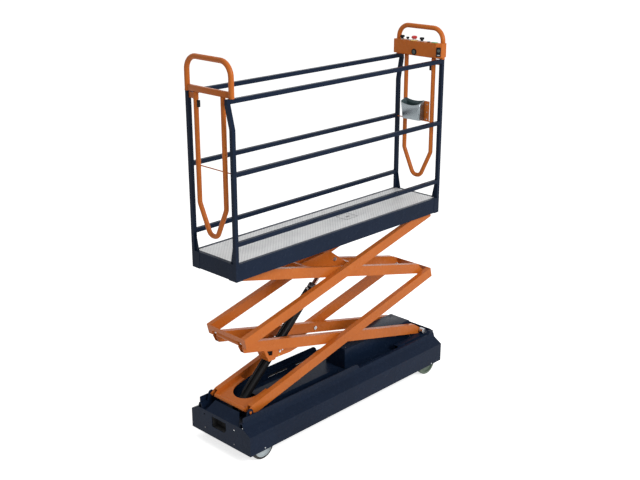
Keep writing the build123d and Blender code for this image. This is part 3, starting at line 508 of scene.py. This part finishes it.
def sweep(bm, path, radius, segments=28, ripple=0.0):
    """A round tube along a path; ripple makes its radius rise and fall, as in a weld bead."""
    ahead = (path[1] - path[0]).normalized()
    side = ahead.orthogonal().normalized()
    rings = []
    for index, point in enumerate(path):
        before, after = path[max(index - 1, 0)], path[min(index + 1, len(path) - 1)]
        direction = (after - before).normalized()
        side = ahead.rotation_difference(direction) @ side
        ahead = direction
        other = ahead.cross(side)
        size = radius * (1 + ripple * sin(2.1 * index))
        rings.append(
            [bm.verts.new(point + (side * u + other * v) * size) for u, v in circle(1, segments)]
        )
    join_rings(bm, rings)


def weld_loop(bm, centre, radius, bead):
    """A rippled bead round the foot of an upright tube."""
    outline = circle(radius, 40)
    path = [Vector(centre) + Vector((x, y, 0)) for x, y in (*outline, outline[0])]
    sweep(bm, path, bead, 6, 0.18)


# ---------------------------------------------------------------- places

arms_crossing = Vector(joints["lift_b1"]["pos_m"])
cylinder_foot = Vector(joints["cylinder_swing"]["pos_m"])
cylinder_axis = Vector(joints["cylinder_slide"]["axis"]).normalized()
cylinder_side = Vector((-cylinder_axis.z, 0, cylinder_axis.x))

# The lower inner arms, b1, rise to the left at this angle in the pose at rest
arm_angle = radians(13.9)
up_left = Vector((-cos(arm_angle), 0, sin(arm_angle)))
over_left = Vector((sin(arm_angle), 0, cos(arm_angle)))


def along_cylinder(distance, aside):
    return cylinder_foot + cylinder_axis * distance + cylinder_side * aside


def on_b1(along, above, y):
    """A point along the lower inner arms from their crossing, and above their centre line."""
    return arms_crossing + up_left * along + over_left * above + Vector((0, y, 0))


# ---------------------------------------------------------------- base

face_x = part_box("left_end_plate")[0].x
bolts(
    "end_plate_bolts",
    ((face_x, 0.167, 0.133), (face_x, -0.147, 0.120)),
    towards_left,
    end_bolt_radius,
    dark_steel,
    "base",
)

skirt_y = -0.3158
rivet_profile = ((0.0055, -0.0005), (0.0052, 0.0004))
for name, x, z in (("left", -0.933, 0.101), ("right", 0.949, 0.0925)):
    turned(
        f"skirt_rivet_{name}",
        (x, skirt_y, z),
        towards_near,
        rivet_profile,
        pale_plastic,
        "base",
        20,
    )

# Dark box behind the hand slot, open to the left: painted shade inside the slot
shade_box_front, shade_box_back = face_x + 0.0045, face_x + 0.064
shade_box_near, shade_box_far = -0.066, 0.094
shade_box_bottom, shade_box_top = 0.164, 0.254
shade_box_corners = (
    (shade_box_near, shade_box_bottom),
    (shade_box_far, shade_box_bottom),
    (shade_box_far, shade_box_top),
    (shade_box_near, shade_box_top),
)
bm = bmesh.new()
shade_box_rings = [
    [bm.verts.new((x, y, z)) for y, z in shade_box_corners] for x in (shade_box_front, shade_box_back)
]
join_rings(bm, shade_box_rings, first_cap=False)
bevel(bm, [edge for edge in bm.edges if not edge.is_boundary], 0.012, 4)
shade_box = from_bmesh("hand_slot_shade_box", bm, painted_shade, "base")
shade_box_wall = shade_box.modifiers.new("wall", "SOLIDIFY")
shade_box_wall.thickness = 0.001
shade_box_wall.offset = 1

# Slots in the far ridge's inner wall, each a dark box of painted shade with a thin painted
# highlight along its lower edge
slot_back_y = 0.2055
slot_parts = (
    ("ridge_slot", 0.2043, 0.2805, 0.2935, painted_shade),
    ("ridge_slot_edge", 0.2037, 0.2785, 0.2810, pale_plastic),
)
for number, (left, right) in enumerate(((-0.413, -0.212), (-0.119, 0.089)), 1):
    for name, front_y, bottom, top, material in slot_parts:
        low, high = (left, front_y, bottom), (right, slot_back_y, top)
        box(f"{name}_{number}", low, high, 0.0004, material, "base")

# ---------------------------------------------------------------- wheels

# (radius, distance outwards from the wheel's middle) points
tyre_profile = (
    (0.0815, -0.0200),
    (0.0915, -0.0200),
    (0.0965, -0.0185),
    (0.0992, -0.0150),
    (0.1000, -0.0090),
    (0.1000, -0.0008),
    (0.0995, 0.0),
    (0.1000, 0.0008),
    (0.1000, 0.0090),
    (0.0992, 0.0150),
    (0.0965, 0.0185),
    (0.0915, 0.0200),
    (0.0815, 0.0200),
)
rim_profile = (
    (0.0815, 0.0165),
    (0.0815, 0.0205),
    (0.0795, 0.0215),
    (0.0765, 0.0205),
    (0.0755, 0.0125),
    (0.0780, 0.0125),
)
hub_profile = ((0.0105, 0.0220), (0.0105, 0.0245), (0.0085, 0.0262), (0.0030, 0.0268))

for end in ("left", "right"):
    for side, outward in (("near", towards_near), ("far", towards_far)):
        wheel = f"{end}_{side}"
        low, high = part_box(f"tyre_{wheel}")
        centre = (low + high) / 2
        body = f"wheel_{wheel}"
        rubber = material_for(f"tyre_{wheel}")
        rim = material_for(f"disc_{wheel}")
        tyre = turned(
            f"tyre_{wheel}_shape", centre, outward, tyre_profile, rubber, body, 72, True
        )
        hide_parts(f"tyre_{wheel}")
        turned(f"rim_ring_{wheel}", centre, outward, rim_profile, rim, body, 64, True)
        turned(f"hub_cap_{wheel}", centre, outward, hub_profile, dark_steel, body, 24)

# ---------------------------------------------------------------- brackets under the inner arms

# Outlines are (along, above) points, as in on_b1
arm_under = -0.0385
bracket_top = (0.798, arm_under)
bracket_heel = (0.728, -0.125)
bracket_step = (0.668, -0.1128)
bracket_bend = (0.497, -0.078)
bracket_tip = (0.426, -0.049)
bracket_end = (bracket_tip[0], arm_under)

# The sheets' thickness, then distances inwards from a bracket's outer face
sheet = 0.005
lip_inset = 0.022
bracket_width = 0.090
band_inset = 0.0006


def raised(point):
    """The point on a sheet's upper face that lies over one on its lower face."""
    return (point[0], point[1] + sheet)


# Each sheet's inset, its depth, its outline and the holes in it
bracket_sheets = (
    (
        0,
        sheet,
        (bracket_top, bracket_heel, bracket_step, (0.655, arm_under)),
        (((0.764, -0.046), (0.709, -0.046), (0.703, -0.080), (0.737, -0.080)),),
    ),
    (
        lip_inset,
        sheet,
        ((0.662, arm_under), (0.662, bracket_step[1]), bracket_bend, bracket_tip, bracket_end),
        (),
    ),
    (
        bracket_width - sheet,
        sheet,
        (bracket_top, bracket_heel, bracket_bend, bracket_tip, bracket_end),
        (),
    ),
    (
        band_inset,
        bracket_width - 2 * band_inset,
        (
            (0.7975, arm_under),
            bracket_heel,
            bracket_step,
            raised(bracket_step),
            (0.7255, -0.1190),
            (0.7915, arm_under),
        ),
        (),
    ),
    (
        lip_inset + band_inset,
        bracket_width - lip_inset - 3 * band_inset,
        (
            bracket_step,
            bracket_bend,
            bracket_tip,
            raised(bracket_tip),
            raised(bracket_bend),
            raised(bracket_step),
        ),
        (),
    ),
)
sharpest_smooth_angle = 0.5
# A dark sheet inside each bracket, seen through its window, is painted shade: its inset, depth and
# outline
shade_inset, shade_depth = 0.030, 0.002
shade_outline = ((0.778, -0.042), (0.730, -0.112), (0.680, -0.104), (0.680, -0.042))
bracket_fasteners = (
    ("bolt", ((0.610, -0.063),), 0.0068, zinc),
    ("screws", ((0.646, -0.052), (0.586, -0.052)), 0.0042, zinc),
    ("nut", ((0.613, -0.092),), 0.0045, yellow_plastic),
)


def upright_sheet(bm, y, depth, outline, holes=()):
    """A sheet that hangs along the lower inner arms, from y to y + depth, added to a mesh."""
    edges = []
    for loop in (outline, *holes):
        corners = [bm.verts.new(on_b1(along, above, y)) for along, above in loop]
        following = corners[1:] + corners[:1]
        edges += [bm.edges.new(pair) for pair in zip(corners, following)]
    filled = bmesh.ops.triangle_fill(bm, edges=edges, use_beauty=True)["geom"]
    faces = [item for item in filled if isinstance(item, bmesh.types.BMFace)]
    moved = extrude(bm, faces, (0, depth, 0))
    sharp = [
        edge
        for edge in edges_at(moved)
        if len(edge.link_faces) == 2 and edge.calc_face_angle(0) > sharpest_smooth_angle
    ]
    bevel(bm, sharp, 0.0008, 1)


for side, outer_y, inward in (("near", -0.150, 1), ("far", 0.150, -1)):
    bm = bmesh.new()
    for inset, depth, outline, holes in bracket_sheets:
        upright_sheet(bm, outer_y + inset * inward, depth * inward, outline, holes)
    bracket = from_bmesh(f"bracket_{side}", bm, orange, "arm_b1")
    bm = bmesh.new()
    upright_sheet(bm, outer_y + shade_inset * inward, shade_depth * inward, shade_outline)
    from_bmesh(f"bracket_shade_{side}", bm, painted_shade, "arm_b1")
    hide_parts("b1_brackets")
    lip_y = outer_y + lip_inset * inward
    for name, places, radius, material in bracket_fasteners:
        centres = [on_b1(along, above, lip_y) for along, above in places]
        bolts(f"bracket_{name}_{side}", centres, (0, -inward, 0), radius, material, "arm_b1")

# ---------------------------------------------------------------- cylinder

turned(
    "gland_ring",
    along_cylinder(1.016, 0),
    cylinder_axis,
    ((0.0328, -0.002), (0.0342, 0.0), (0.0342, 0.029), (0.0325, 0.032), (0.0178, 0.0355)),
    dark_steel,
    "cylinder_barrel",
    40,
)

barrel_wall = 0.030
turned(
    "cylinder_port",
    along_cylinder(0.990, barrel_wall),
    cylinder_side,
    ((0.012, 0.0), (0.012, 0.009), (0.0095, 0.011), (0.0095, 0.018), (0.006, 0.020)),
    grey_plastic,
    "cylinder_barrel",
    6,
)
turned(
    "cylinder_bleed",
    along_cylinder(0.838, barrel_wall),
    cylinder_side,
    ((0.010, 0.0), (0.010, 0.010), (0.0075, 0.012), (0.0075, 0.034), (0.0045, 0.037)),
    black_plastic,
    "cylinder_barrel",
    6,
)

# (distance along the cylinder, distance aside) points: both ends stop in the barrel's wall, so
# that the rod passes clear of them
pipe_points = (
    (0.070, 0.030),
    (0.090, 0.043),
    (0.130, 0.044),
    (0.500, 0.044),
    (0.900, 0.044),
    (0.965, 0.044),
    (0.985, 0.043),
    (0.990, 0.031),
)
pipe(
    "cylinder_pipe",
    [along_cylinder(distance, aside) for distance, aside in pipe_points],
    0.0085,
    black,
    "cylinder_barrel",
)

# ---------------------------------------------------------------- deck and power unit

deck_low, deck_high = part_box("deck")
channel_low, channel_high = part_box("side_channels")
deck_top = deck_high.z
# Strips of the lighter navy along the tops of the deck's side flanges: a painted sheen
flange_half_length = 1.044
flange_margin = 0.002
for side, low_y, high_y in (
    ("near", channel_low.y, deck_low.y),
    ("far", deck_high.y, channel_high.y),
):
    box(
        f"sheen_flange_{side}",
        (-flange_half_length, low_y + flange_margin, deck_top - sunk),
        (flange_half_length, high_y - flange_margin, deck_top + 0.0006),
        0.0004,
        navy_painted_sheen,
        "platform",
    )

# The hatch shows as an outline with a small plate inside it. The outline's end strips stop short
# of its corners, so that no two faces lie in one plane
hatch_left, hatch_right, hatch_near, hatch_far = 0.135, 0.270, -0.090, 0.020
hatch_line = 0.004
end_near, end_far = hatch_near + 0.0010, hatch_far - 0.0010
bm = bmesh.new()
for low_x, high_x, low_y, high_y in (
    (hatch_left, hatch_right, hatch_near, hatch_near + hatch_line),
    (hatch_left, hatch_right, hatch_far - hatch_line, hatch_far),
    (hatch_left + 0.0002, hatch_left + hatch_line, end_near, end_far),
    (hatch_right - hatch_line, hatch_right - 0.0002, end_near, end_far),
    (0.185, 0.220, -0.048, -0.030),
):
    box_into(bm, (low_x, low_y, deck_top - sunk), (high_x, high_y, deck_top + 0.0008), 0.0003)
from_bmesh("deck_hatch", bm, dark_steel, "platform")

housing_low, housing_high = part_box("power_housing")
lid_top = housing_high.z + 0.0015
box(
    "housing_lid",
    (housing_low.x + 0.006, housing_low.y + 0.005, housing_high.z - sunk),
    (housing_high.x - 0.006, housing_high.y - 0.005, lid_top),
    0.0006,
    navy,
    "base",
)
screw_columns = (
    housing_low.x + 0.03,
    (housing_low.x + housing_high.x) / 2,
    housing_high.x - 0.03,
)
screw_rows = (housing_low.y + 0.02, housing_high.y - 0.02)
bolts(
    "housing_screws",
    [(x, y, lid_top) for x in screw_columns for y in screw_rows],
    upwards,
    0.0032,
    dark_steel,
    "base",
)

# ---------------------------------------------------------------- end frames

end_x = 1.067
frame_tube = 0.0185
frame_leg_y = 0.2155
frame_corner = 0.094
for end, frame_x in (("left", -end_x), ("right", end_x)):
    low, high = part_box(f"end_frame_{end}")
    top_z = high.z - frame_tube
    corners = (
        (frame_x, -frame_leg_y, low.z),
        (frame_x, -frame_leg_y, top_z),
        (frame_x, frame_leg_y, top_z),
        (frame_x, frame_leg_y, low.z),
    )
    bm = bmesh.new()
    sweep(bm, arc_path(corners, (frame_corner, frame_corner), 12), frame_tube)
    crossbar_low = (frame_x - 0.012, -frame_leg_y, low.z)
    crossbar_high = (frame_x + 0.012, frame_leg_y, low.z + 0.040)
    box_into(bm, crossbar_low, crossbar_high, 0.003)
    for y in (-frame_leg_y, frame_leg_y):
        weld_loop(bm, (frame_x, y, low.z + 0.0015), frame_tube, 0.0022)
    arch = from_bmesh(f"arch_{end}", bm, orange, "platform")
    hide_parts(f"end_frame_{end}")

# ---------------------------------------------------------------- gates

gate_tube = 0.0168
gate_leg_y = 0.134
gate_foot_y = 0.036
gate_top_z = 2.5845
gate_shoulder_z = 1.841
gate_bends = (0.048, 0.050, 0.050, 0.048)
gate_bar_z = 2.090
gate_bar_radius = 0.004
gate_bar_offset = gate_tube + 0.0025
latch_bottom, latch_top = 2.487, 2.533

# The right gate is the left one turned round: facing is the way inwards along X, and the side of
# the hinge leg along Y
for end, gate_x, facing in (("left", -end_x, 1), ("right", end_x, -1)):
    low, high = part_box(f"gate_{end}")
    foot_z = low.z + gate_tube
    corners = (
        (gate_x, -gate_leg_y, gate_top_z),
        (gate_x, -gate_leg_y, gate_shoulder_z),
        (gate_x, -gate_foot_y, foot_z),
        (gate_x, gate_foot_y, foot_z),
        (gate_x, gate_leg_y, gate_shoulder_z),
        (gate_x, gate_leg_y, gate_top_z),
    )
    bar_x = gate_x + gate_bar_offset * facing
    bar_ends = [Vector((bar_x, y * facing, gate_bar_z)) for y in (0.136, -0.193)]
    bm = bmesh.new()
    sweep(bm, arc_path(corners, gate_bends), gate_tube)
    sweep(bm, bar_ends, gate_bar_radius, 14)
    gate = from_bmesh(f"gate_{end}_shape", bm, orange, f"gate_{end}")
    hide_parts(f"gate_{end}")
    latch_near, latch_far = sorted((0.097 * facing, 0.1185 * facing))
    box(
        f"gate_latch_{end}",
        (gate_x - 0.007, latch_near, latch_bottom),
        (gate_x + 0.007, latch_far, latch_top),
        0.003,
        black_plastic,
        f"gate_{end}",
    )

# ---------------------------------------------------------------- bin on the right gate

bin_front, bin_back = 0.979, 1.0495
bin_near, bin_far, bin_far_at_bottom = -0.076, 0.116, 0.094
bin_bottom, bin_front_top, bin_back_top = 2.098, 2.230, 2.253
bin_corner = 0.012
corner_steps = 4
bin_levels = 5
longest_step = 0.008

bin_plan = []
for corner_x, corner_y, start in (
    (bin_front + bin_corner, bin_near + bin_corner, pi),
    (bin_back - bin_corner, bin_near + bin_corner, 1.5 * pi),
    (bin_back - bin_corner, bin_far - bin_corner, 0.0),
    (bin_front + bin_corner, bin_far - bin_corner, 0.5 * pi),
):
    for step in range(corner_steps + 1):
        angle = start + 0.5 * pi * step / corner_steps
        x, y = corner_x + bin_corner * cos(angle), corner_y + bin_corner * sin(angle)
        bin_plan.append((x, y))

# The plan again, with points added along its straight sides for the dip in the rim
bin_outline = []
for (x, y), (next_x, next_y) in zip(bin_plan, bin_plan[1:] + bin_plan[:1]):
    steps = max(1, int(Vector((next_x - x, next_y - y)).length / longest_step))
    for step in range(steps):
        point = (x + (next_x - x) * step / steps, y + (next_y - y) * step / steps)
        bin_outline.append(point)


def bin_rim(x, y):
    depth = (x - bin_front) / (bin_back - bin_front)
    width = (y - bin_near) / (bin_far - bin_near)
    dip = 4 * width * (1 - width)
    front = bin_front_top - 0.020 * dip
    back = bin_back_top - 0.015 * dip
    return front * (1 - depth) + back * depth


bm = bmesh.new()
rows = []
for level in range(bin_levels + 1):
    share = level / bin_levels
    narrow = 1 - (1 - share) * (bin_far - bin_far_at_bottom) / (bin_far - bin_near)
    row = []
    for x, y in bin_outline:
        z = bin_bottom + (bin_rim(x, y) - bin_bottom) * share
        row.append(bm.verts.new((x, bin_near + (y - bin_near) * narrow, z)))
    rows.append(row)
join_rings(bm, rows, last_cap=False)
pocket = from_bmesh("bin_pocket", bm, galvanised, "gate_right")
# The wall's added inner face takes the second material: painted shade inside the bin
pocket.data.materials.append(bin_inside_shade)
wall = pocket.modifiers.new("wall", "SOLIDIFY")
wall.thickness = 0.002
wall.offset = -1
wall.material_offset = 1
wall.material_offset_rim = 0
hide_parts("document_bin")

plate_low = (bin_back, -0.119, 2.090)
plate_high = (bin_back + 0.004, -0.060, 2.247)
bin_plate = box("bin_plate", plate_low, plate_high, 0.0012, orange, "gate_right")
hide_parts("document_bin")
bolts(
    "bin_plate_bolts",
    [(bin_back, -0.098, z) for z in (2.220, 2.160, 2.105)],
    towards_left,
    0.0030,
    zinc,
    "gate_right",
)

# ---------------------------------------------------------------- controls

box_low, box_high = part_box("control_box")
face_plane = box_low.x
key_y, key_z = 0.008, 2.625
turned(
    "key_ring",
    (face_plane, key_y, key_z),
    towards_left,
    ((0.024, -0.001), (0.024, 0.004), (0.021, 0.0065), (0.0165, 0.0065), (0.0155, 0.003)),
    black_plastic,
    "platform",
)
turned(
    "key_barrel",
    (face_plane - 0.0025, key_y, key_z),
    towards_left,
    ((0.0155, -0.001), (0.0155, 0.003), (0.013, 0.005)),
    dim_plastic,
    "platform",
)

knob_x = 1.0255
knob_z = box_high.z
far_y, small_y, stop_y, near_y, low_y = 0.149, 0.095, 0.030, -0.045, -0.111


def knob(name, y, profile, material):
    return turned(name, (knob_x, y, knob_z), upwards, profile, material, "platform", 32)


def mushroom(radius, height):
    """A knob's profile: a stem under a wide head with a rounded top."""
    return (
        (radius * 0.55, 0.0),
        (radius * 0.55, height * 0.42),
        (radius * 0.94, height * 0.47),
        (radius, height * 0.54),
        (radius, height * 0.90),
        (radius * 0.93, height * 0.98),
        (radius * 0.80, height),
    )


disc_profile = ((0.030, -0.0005), (0.030, 0.0012), (0.0290, 0.0022), (0.0150, 0.0024))
stem_profile = ((0.0140, 0.0), (0.0140, 0.0150), (0.0120, 0.0180))
stop_profile = (
    (0.0150, 0.0140),
    (0.0215, 0.0160),
    (0.0230, 0.0205),
    (0.0225, 0.0280),
    (0.0180, 0.0335),
    (0.0100, 0.0360),
    (0.0030, 0.0368),
)
low_profile = ((0.0130, -0.0005), (0.0130, 0.0035), (0.0110, 0.0050), (0.0040, 0.0052))

knobs = [
    knob("knob_far", far_y, mushroom(0.018, 0.030), black_plastic),
    knob("knob_small", small_y, mushroom(0.012, 0.022), black_plastic),
    knob("stop_disc", stop_y, disc_profile, yellow_plastic),
    knob("stop_stem", stop_y, stem_profile, pale_plastic),
    knob("stop_head", stop_y, stop_profile, red_plastic),
    knob("knob_near", near_y, mushroom(0.018, 0.030), black_plastic),
    knob("knob_low", low_y, low_profile, black_plastic),
]
for piece in knobs:
    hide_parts("control_knobs")
knob_rings = (("far", far_y, 0.0140), ("small", small_y, 0.0105), ("near", near_y, 0.0140))
for name, y, radius in knob_rings:
    ring_profile = ((radius, -0.0005), (radius, 0.0030), (radius * 0.9, 0.0042))
    knob(f"knob_ring_{name}", y, ring_profile, grey_plastic)

box(
    "green_button",
    (knob_x - 0.011, -0.193, knob_z - sunk),
    (knob_x + 0.011, -0.143, knob_z + 0.005),
    0.0022,
    green_plastic,
    "platform",
)

# Socket on the box's sloping corner, turned out towards the operator
socket_depth = 0.008
socket_place = Vector((1.0120, -0.2185, 2.645))
socket_across = Vector((0.543, -0.84, 0)).normalized()
socket_up = Vector(upwards)
socket_out = socket_across.cross(socket_up)
plate(
    "socket_body",
    socket_place,
    socket_across,
    socket_up,
    0.0345,
    0.070,
    socket_depth,
    0.003,
    black_plastic,
    "platform",
)
turned(
    "socket_dial",
    socket_place + socket_out * socket_depth + socket_up * 0.010,
    socket_out,
    ((0.0115, -0.001), (0.0115, 0.0025), (0.0095, 0.0040), (0.0040, 0.0044)),
    dim_plastic,
    "platform",
)
plate(
    "socket_strip",
    socket_place + socket_out * (socket_depth - 0.0002) - socket_up * 0.024,
    socket_across,
    socket_up,
    0.020,
    0.007,
    0.0012,
    0.0004,
    grey_plastic,
    "platform",
)
bolts(
    "box_end_bolts",
    [(1.0250, box_high.y, z) for z in (2.665, 2.625)],
    towards_far,
    end_bolt_radius,
    dark_steel,
    "platform",
)

# ---------------------------------------------------------------- stage, lights and camera

# The floor glows only where the camera sees it, directly or mirrored, and lights nothing
floor_corners = ((-60, -60, 0), (60, -60, 0), (60, 60, 0), (-60, 60, 0))
floor_mesh = bpy.data.meshes.new("floor")
floor_mesh.from_pydata(floor_corners, [], [(0, 1, 2, 3)])
floor = bpy.data.objects.new("floor", floor_mesh)
bpy.context.scene.collection.objects.link(floor)
floor_material, tree, shader = new_material("floor")
floor_colour = ramp(tree, noise(tree, 0.8, 2.0), (0.90, 0.90, 0.90), (0.92, 0.92, 0.92))
feed(tree, floor_colour, shader.inputs["Base Color"])
shader.inputs["Roughness"].default_value = 0.9
shader.inputs["Specular IOR Level"].default_value = 0.1
floor_glow = calculate(tree, "MULTIPLY", seen_directly(tree), 0.72)
feed(tree, (1, 1, 1), shader.inputs["Emission Color"])
feed(tree, floor_glow, shader.inputs["Emission Strength"])
floor_mesh.materials.append(floor_material)

world = bpy.data.worlds.new("studio")
bpy.context.scene.world = world
world.use_nodes = True
tree = world.node_tree
background = tree.nodes["Background"]
feed(tree, (1, 1, 1), background.inputs["Color"])
feed(tree, remap(tree, seen_directly(tree), 0.37, 1.0), background.inputs["Strength"])


def softbox(name, place, target, size, power):
    light = bpy.data.lights.new(name, "AREA")
    light.shape = "RECTANGLE"
    light.size, light.size_y = size
    light.energy = power
    lamp = bpy.data.objects.new(name, light)
    lamp.location = place
    lamp.rotation_euler = (Vector(target) - Vector(place)).to_track_quat("-Z", "Y").to_euler()
    bpy.context.scene.collection.objects.link(lamp)


softbox("key", (-0.4, -6.8, 5.6), (0, 0, 1.2), (4, 4), 395)
softbox("fill", (-6.5, 1.5, 3.5), (0, 0, 1.2), (4, 3), 8)
softbox("top", (1.0, 0.5, 7.5), (0, 0, 1.0), (5, 5), 70)

camera_data = bpy.data.cameras.new("camera")
camera_data.lens = 57.14
camera_data.sensor_width = 36
camera = bpy.data.objects.new("camera", camera_data)
camera.location = (-5.175, -4.949, 3.828)
camera.rotation_euler = (radians(90 - 19.17), 0, radians(-45.98))
bpy.context.scene.collection.objects.link(camera)
bpy.context.scene.camera = camera
bpy.context.scene.view_settings.view_transform = "Standard"
